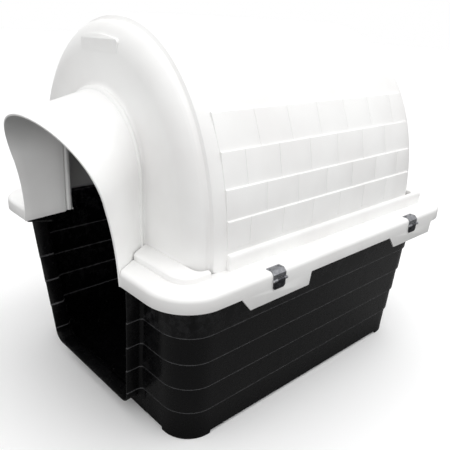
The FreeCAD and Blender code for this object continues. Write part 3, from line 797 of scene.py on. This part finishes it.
def makeFlange():
    s = flangeSizes
    flange = roundedPlane(s["half"][0], s["half"][1], s["bottom"], s["cornerRadius"], 16)
    bpy.ops.mesh.select_all(action="SELECT")
    bpy.ops.mesh.extrude_region_move(TRANSFORM_OT_translate={"value": (0, 0, (s["top"] - s["bottom"]) * mm)})
    # the deck's inner edge lies just inside the vault's skin
    openMiddle(s, 45)
    pick("FACE", lambda c, n: abs(c.z - s["bottom"] * mm) < 1e-5)
    bpy.ops.mesh.delete(type="ONLY_FACE")
    pick("EDGE", lambda e: not e.is_boundary and all(abs(v.co.z - s["top"] * mm) < 1e-5 for v in e.verts)
         and e.calc_face_angle(0) > 1)
    bpy.ops.mesh.bevel(offset=s["edgeRound"] * mm, segments=6)
    # tabs grow down from the skirt, over the latches' places
    for centre in s["tabCentres"]:
        for end in (-1, 1):
            bpy.ops.mesh.select_all(action="SELECT")
            bpy.ops.mesh.bisect(plane_co=(0, middle + (centre + end * s["tabHalf"]) * mm, 0), plane_no=(0, 1, 0))
    frontSlant, rearSlant = s["tabSlants"]
    narrower = 1 - (frontSlant + rearSlant) / 2 / s["tabHalf"]
    shift = (frontSlant - rearSlant) / 2 * mm
    reach = (s["tabHalf"] + 0.5) * mm
    side = (s["half"][0] - 12) * mm
    for centre in s["tabCentres"]:
        place = middle + centre * mm
        pick("EDGE", lambda e: e.is_boundary and all(abs(v.co.z - s["bottom"] * mm) < 1e-5
             and abs(v.co.y - place) < reach and abs(v.co.x) > side for v in e.verts))
        nextLoop(z=-s["tabDrop"] * mm)
        shapeLoop(lambda co: Vector((co.x, place + (co.y - place) * narrower + shift, co.z)))
    facesOut(z=0.30)
    endEdit()
    modify(flange, "SOLIDIFY", thickness=s["wall"] * mm, offset=-1)
    cutAway(flange, makeOpening(*s["opening"]))
    across, high = s["slot"]
    top = s["bottom"] - s["slotDown"]
    outside = s["half"][0] + 8
    for centre in s["tabCentres"]:
        along = centre + s["latchShift"]
        cutAway(flange, makeBlock((-outside, outside), (along - across / 2, along + across / 2), (top - high, top)))
    modify(flange, "BEVEL", width=0.9 * mm, segments=2, limit_method="ANGLE", angle_limit=math.radians(50))
    modify(flange, "WEIGHTED_NORMAL", keep_sharp=True)
    return flange


plinthSizes = {
    "half": (320, 403.5),
    "cornerRadius": 38,
    "bottom": 375,
    "top": 408,
    "frontTop": 391,
    "edgeRound": 9,
    "hole": (309, 358),
    "gap": (-337, -294.5),  # where the band is left out on each side, from the flange's middle along Y
    "gapAcross": (285, 400),
    "gapHigh": (360, 420),
    "opening": (340, 440),
    "endRound": 5,
}


def makePlinth():
    s = plinthSizes
    plinth = roundedPlane(s["half"][0], s["half"][1], s["bottom"], s["cornerRadius"], 14)
    openMiddle(s, 20)
    bpy.ops.mesh.select_all(action="SELECT")
    bpy.ops.mesh.extrude_region_move(TRANSFORM_OT_translate={"value": (0, 0, (s["top"] - s["bottom"]) * mm)})
    facesOut(z=0.30)
    pick("EDGE", lambda e: all(v.co.z > (s["top"] - 0.1) * mm for v in e.verts) and e.calc_face_angle(0) > 1
         and (abs(e.verts[0].co.x) > (s["hole"][0] + 2.5) * mm
              or abs(e.verts[0].co.y - middle) > (s["hole"][1] + 4) * mm))
    bpy.ops.mesh.bevel(offset=s["edgeRound"] * mm, segments=6)
    endEdit()
    cutAway(plinth, makeOpening(*s["opening"]))
    for side in (-1, 1):
        cutAway(plinth, makeBlock(sorted(side * x for x in s["gapAcross"]), s["gap"], s["gapHigh"]))
    startEdit(plinth)
    pick("VERT", lambda co: co.y < middle + (s["gap"][0] + 1) * mm and co.z > (s["bottom"] + 1) * mm)
    share = (s["frontTop"] - s["bottom"]) / (s["top"] - s["bottom"])
    shapeLoop(lambda co: Vector((co.x, co.y, s["bottom"] * mm + (co.z - s["bottom"] * mm) * share)))
    endEdit()
    modify(plinth, "BEVEL", width=s["endRound"] * mm, segments=4, limit_method="ANGLE", angle_limit=math.radians(50))
    modify(plinth, "WEIGHTED_NORMAL", keep_sharp=True)
    return plinth


ridgeSizes = {
    "half": 65,
    "top": 760,
    "bottom": 735,
    "depth": 20,
    "round": 6,
    "proud": 0.3,           # of the wall, so that the two faces don't lie in one plane
    "crown": 6,             # how much the top bows up
}


def makeRidgeBlock():
    # the square block at the top of the front wall, flush with it
    s = ridgeSizes
    front = -vaultSizes["halfLength"]
    block = makeBlock((-s["half"], s["half"]), (front - s["proud"], front + s["depth"]), (s["bottom"], s["top"]))
    startEdit(block)
    high = (s["top"] - 1) * mm
    pick("EDGE", lambda e: abs((e.verts[0].co - e.verts[1].co).y) > 1e-3 and all(v.co.z > high for v in e.verts))
    bpy.ops.mesh.bevel(offset=s["round"] * mm, segments=4)
    # the crown line bows up a little towards the middle
    pick("FACE", lambda c, n: n.z > 0.9)
    bpy.ops.mesh.subdivide(number_cuts=5)
    flat = (s["half"] - s["round"]) * mm
    pick("VERT", lambda co: co.z > high and abs(co.x) < flat + 1e-5)
    shapeLoop(lambda co: Vector((co.x, co.y, co.z + s["crown"] * mm * (1 - (co.x / flat) ** 2))))
    endEdit()
    modify(block, "WEIGHTED_NORMAL", keep_sharp=True)
    return block


brickSizes = {
    "courseHeights": (653, 590, 527, 471, 417),   # upper edge of each course, and the foot of the last
    "start": -296,
    "pattern": -284,        # where the joints are counted from
    "end": 308,
    "length": 89.85,
    "shortest": 8,          # a brick that would be shorter is joined to the one before
    "joint": 0.3,
    "proudTop": 4.8,
    "proudFoot": 0.8,
    "thickness": 5.6,       # at the top edge
    "footThickness": 3.4,
    "round": 0.6,
    "topRound": 2.4,
}


def skinAt(z):
    # half width of the vault at a height
    s = vaultSizes
    power = s["squareness"][0]
    up = (z - s["spring"]) / s["rise"]
    return s["halfWidth"] * (1 - up ** power) ** (1 / power)


def makeBrick(course, length):
    # one block of a course on the right side, its upper edge standing proud, its foot almost flush
    s = brickSizes
    high, low = s["courseHeights"][course], s["courseHeights"][course + 1]
    top = Vector((skinAt(high), 0, high))
    foot = Vector((skinAt(low), 0, low))
    along = (foot - top).normalized()
    out = Vector((-along.z, 0, along.x))
    bpy.ops.mesh.primitive_cube_add(size=1)
    brick = bpy.context.object
    outer = (top + out * s["proudTop"], foot + out * s["proudFoot"])
    inner = (outer[0] - out * s["thickness"], outer[1] - out * s["footThickness"])
    startEdit(brick)
    bpy.ops.mesh.select_all(action="SELECT")
    half = (length - s["joint"]) / 2

    def corner(co):
        pair = outer if co.x > 0 else inner
        spot = pair[0] if co.z > 0 else pair[1]
        return Vector((spot.x * mm, math.copysign(half * mm, co.y), spot.z * mm))
    shapeLoop(corner)
    pick("EDGE", lambda e: all((v.co - outer[0] * mm).dot(out) > -1e-4
                               and abs(v.co.z - outer[0].z * mm) < 1e-4 for v in e.verts)
         and abs(e.verts[0].co.y - e.verts[1].co.y) > 1e-3)
    bpy.ops.mesh.bevel(offset=s["topRound"] * mm, segments=3)
    pick("EDGE", lambda e: len(e.link_faces) == 2 and sum(abs(f.normal.y) > 0.9 for f in e.link_faces) == 1
         and any(f.normal.dot(out) > 0.6 for f in e.link_faces))
    bpy.ops.mesh.bevel(offset=s["round"] * mm, segments=2)
    bpy.ops.mesh.select_all(action="SELECT")
    bpy.ops.mesh.normals_make_consistent(inside=False)
    endEdit()
    return brick


def makeBrickPanel():
    s = brickSizes
    pieces = []
    for course in range(len(s["courseHeights"]) - 1):
        # every other course starts with a half brick
        joints = [s["start"]]
        place = s["pattern"] + (s["length"] if course % 2 == 0 else s["length"] / 2)
        while place < s["end"] - s["shortest"]:
            joints.append(place)
            place += s["length"]
        joints.append(s["end"])
        for low, high in zip(joints, joints[1:]):
            brick = makeBrick(course, high - low)
            startEdit(brick)
            bpy.ops.mesh.select_all(action="SELECT")
            moveBy(y=middle + (low + high) / 2 * mm)
            endEdit()
            pieces.append(brick)
    deselectAll()
    for piece in pieces:
        piece.select_set(True)
    bpy.context.view_layer.objects.active = pieces[0]
    bpy.ops.object.join()
    return pieces[0]


def mirrorCopy(piece):
    # the same piece for the left side, with its own mesh
    choose(piece)
    bpy.ops.object.duplicate()
    copy = bpy.context.object
    startEdit(copy)
    bpy.ops.mesh.select_all(action="SELECT")
    scaleAbout(-1, 1, 1)
    bpy.ops.mesh.normals_make_consistent(inside=False)
    endEdit()
    return copy


rimSizes = {
    "half": (367.5, 445.5),
    "hole": (321.5, 399.5),
    "cornerRadius": 92,
    "bottom": 345,
    "top": 347.8,
    "opening": (300, 420),
}


def makeRim():
    # the tub's flat rim, which the roof's skirt stands on
    s = rimSizes
    rim = roundedPlane(s["half"][0], s["half"][1], s["bottom"], s["cornerRadius"], 14)
    openMiddle(s, 15)
    bpy.ops.mesh.select_all(action="SELECT")
    bpy.ops.mesh.extrude_region_move(TRANSFORM_OT_translate={"value": (0, 0, (s["top"] - s["bottom"]) * mm)})
    facesOut(z=0.30)
    endEdit()
    cutAway(rim, makeOpening(*s["opening"]))
    modify(rim, "BEVEL", width=0.6 * mm, segments=2, limit_method="ANGLE", angle_limit=math.radians(50))
    modify(rim, "WEIGHTED_NORMAL", keep_sharp=True)
    return rim


finishPiece(makeRim(), "tubRim", "tub", blackPlastic, ("base_tub",))
finishPiece(makeVault(), "roofVault", "roof", whitePlastic, ("roof_shell",))
finishPiece(makeFlange(), "roofFlange", "roof", whitePlastic, ("roof_shell",))
finishPiece(makePlinth(), "roofBand", "roof", whitePlastic, ("roof_shell",))
finishPiece(makeRidgeBlock(), "ridgeBlock", "roof", whitePlastic, ("roof_shell",))
bricksRight = makeBrickPanel()
bricksLeft = mirrorCopy(bricksRight)
finishPiece(bricksRight, "brickPanelRight", "roof", whitePlastic, ("roof_shell",))
finishPiece(bricksLeft, "brickPanelLeft", "roof", whitePlastic, ("roof_shell",))
print("roof made")


# the latches keep their exact shape

for name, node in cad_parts.items():
    if name.startswith("latch"):
        finish = pinSteel if "pin" in name else steel if "lever" in name else strapSteel
        node.data.materials.clear()
        node.data.materials.append(finish)


# floor, light and camera

studio = {
    "worldHigh": 1.2,       # overhead, as from a large softbox
    "worldLow": 0.86,       # at the horizon
    "floorSize": 40,        # m
    "floorColour": "fbfbfb",
    "floorBounce": "646464",   # what the floor throws back at the model, less than it shows
    "floorRoughness": 0.7,
    "keyPlace": (1.3, 0.5, 3.4),
    "keySize": 2.2,
    "keyPower": 30,
    "fillPlace": (1.7, -2.7, 1.5),
    "fillSize": 2.5,
    "fillPower": 8,
    "cameraPlace": (0.94418, -0.86614, 0.80528),
    "cameraLooks": (-0.67907, 0.63867, -0.36190),
    "cameraUp": (-0.29631, 0.21257, 0.93113),
    "lens": 42.78,
}


def makeFloor():
    bpy.ops.mesh.primitive_plane_add(size=studio["floorSize"], location=(0, 0, 0))
    floor = bpy.context.object
    floor.name = "studioFloor"
    material = bpy.data.materials.new("paperFloor")
    material.use_nodes = True
    tree = material.node_tree
    shader = tree.nodes["Principled BSDF"]
    seen = addNode(tree, "ShaderNodeLightPath").outputs["Is Camera Ray"]
    colour = mixColours(tree, seen, studio["floorBounce"], studio["floorColour"])
    tree.links.new(colour, shader.inputs["Base Color"])
    shader.inputs["Roughness"].default_value = studio["floorRoughness"]
    floor.data.materials.append(material)


def makeLight(name, place, size, power, aim=(0.0, 0.0, 0.35)):
    bpy.ops.object.light_add(type="AREA", location=place)
    light = bpy.context.object
    light.name = name
    light.data.size = size
    light.data.energy = power
    light.rotation_euler = (Vector(aim) - Vector(place)).to_track_quat("-Z", "Y").to_euler()


def makeCamera():
    bpy.ops.object.camera_add(location=studio["cameraPlace"])
    camera = bpy.context.object
    camera.name = "camera"
    looks = Vector(studio["cameraLooks"]).normalized()
    up = Vector(studio["cameraUp"]).normalized()
    right = looks.cross(up).normalized()
    up = right.cross(looks)
    turn = Matrix((right, up, -looks)).transposed()
    camera.rotation_euler = turn.to_euler()
    camera.data.lens = studio["lens"]
    camera.data.sensor_width = 36
    camera.data.clip_start = 0.01
    bpy.context.scene.camera = camera


def makeStudio():
    world = bpy.data.worlds.new("studioWorld")
    world.use_nodes = True
    tree = world.node_tree
    background = tree.nodes["Background"]
    background.inputs["Color"].default_value = (1, 1, 1, 1)
    way = addNode(tree, "ShaderNodeTexCoord").outputs["Generated"]
    parts = addNode(tree, "ShaderNodeSeparateXYZ", {"Vector": way})
    high = addNode(tree, "ShaderNodeMapRange", {"Value": parts.outputs["Z"]},
                   in_From_Min=0.0, in_From_Max=0.9,
                   in_To_Min=studio["worldLow"], in_To_Max=studio["worldHigh"])
    seen = addNode(tree, "ShaderNodeLightPath").outputs["Is Camera Ray"]
    strength = addNode(tree, "ShaderNodeMix", {"Factor": seen, "A": high.outputs["Result"]},
                       data_type="FLOAT", in_B=1.0)
    tree.links.new(strength.outputs["Result"], background.inputs["Strength"])
    bpy.context.scene.world = world
    bpy.context.scene.view_settings.view_transform = "Standard"
    makeFloor()
    makeLight("keyLight", studio["keyPlace"], studio["keySize"], studio["keyPower"])
    makeLight("fillLight", studio["fillPlace"], studio["fillSize"], studio["fillPower"])
    makeCamera()


makeStudio()
print("studio made")
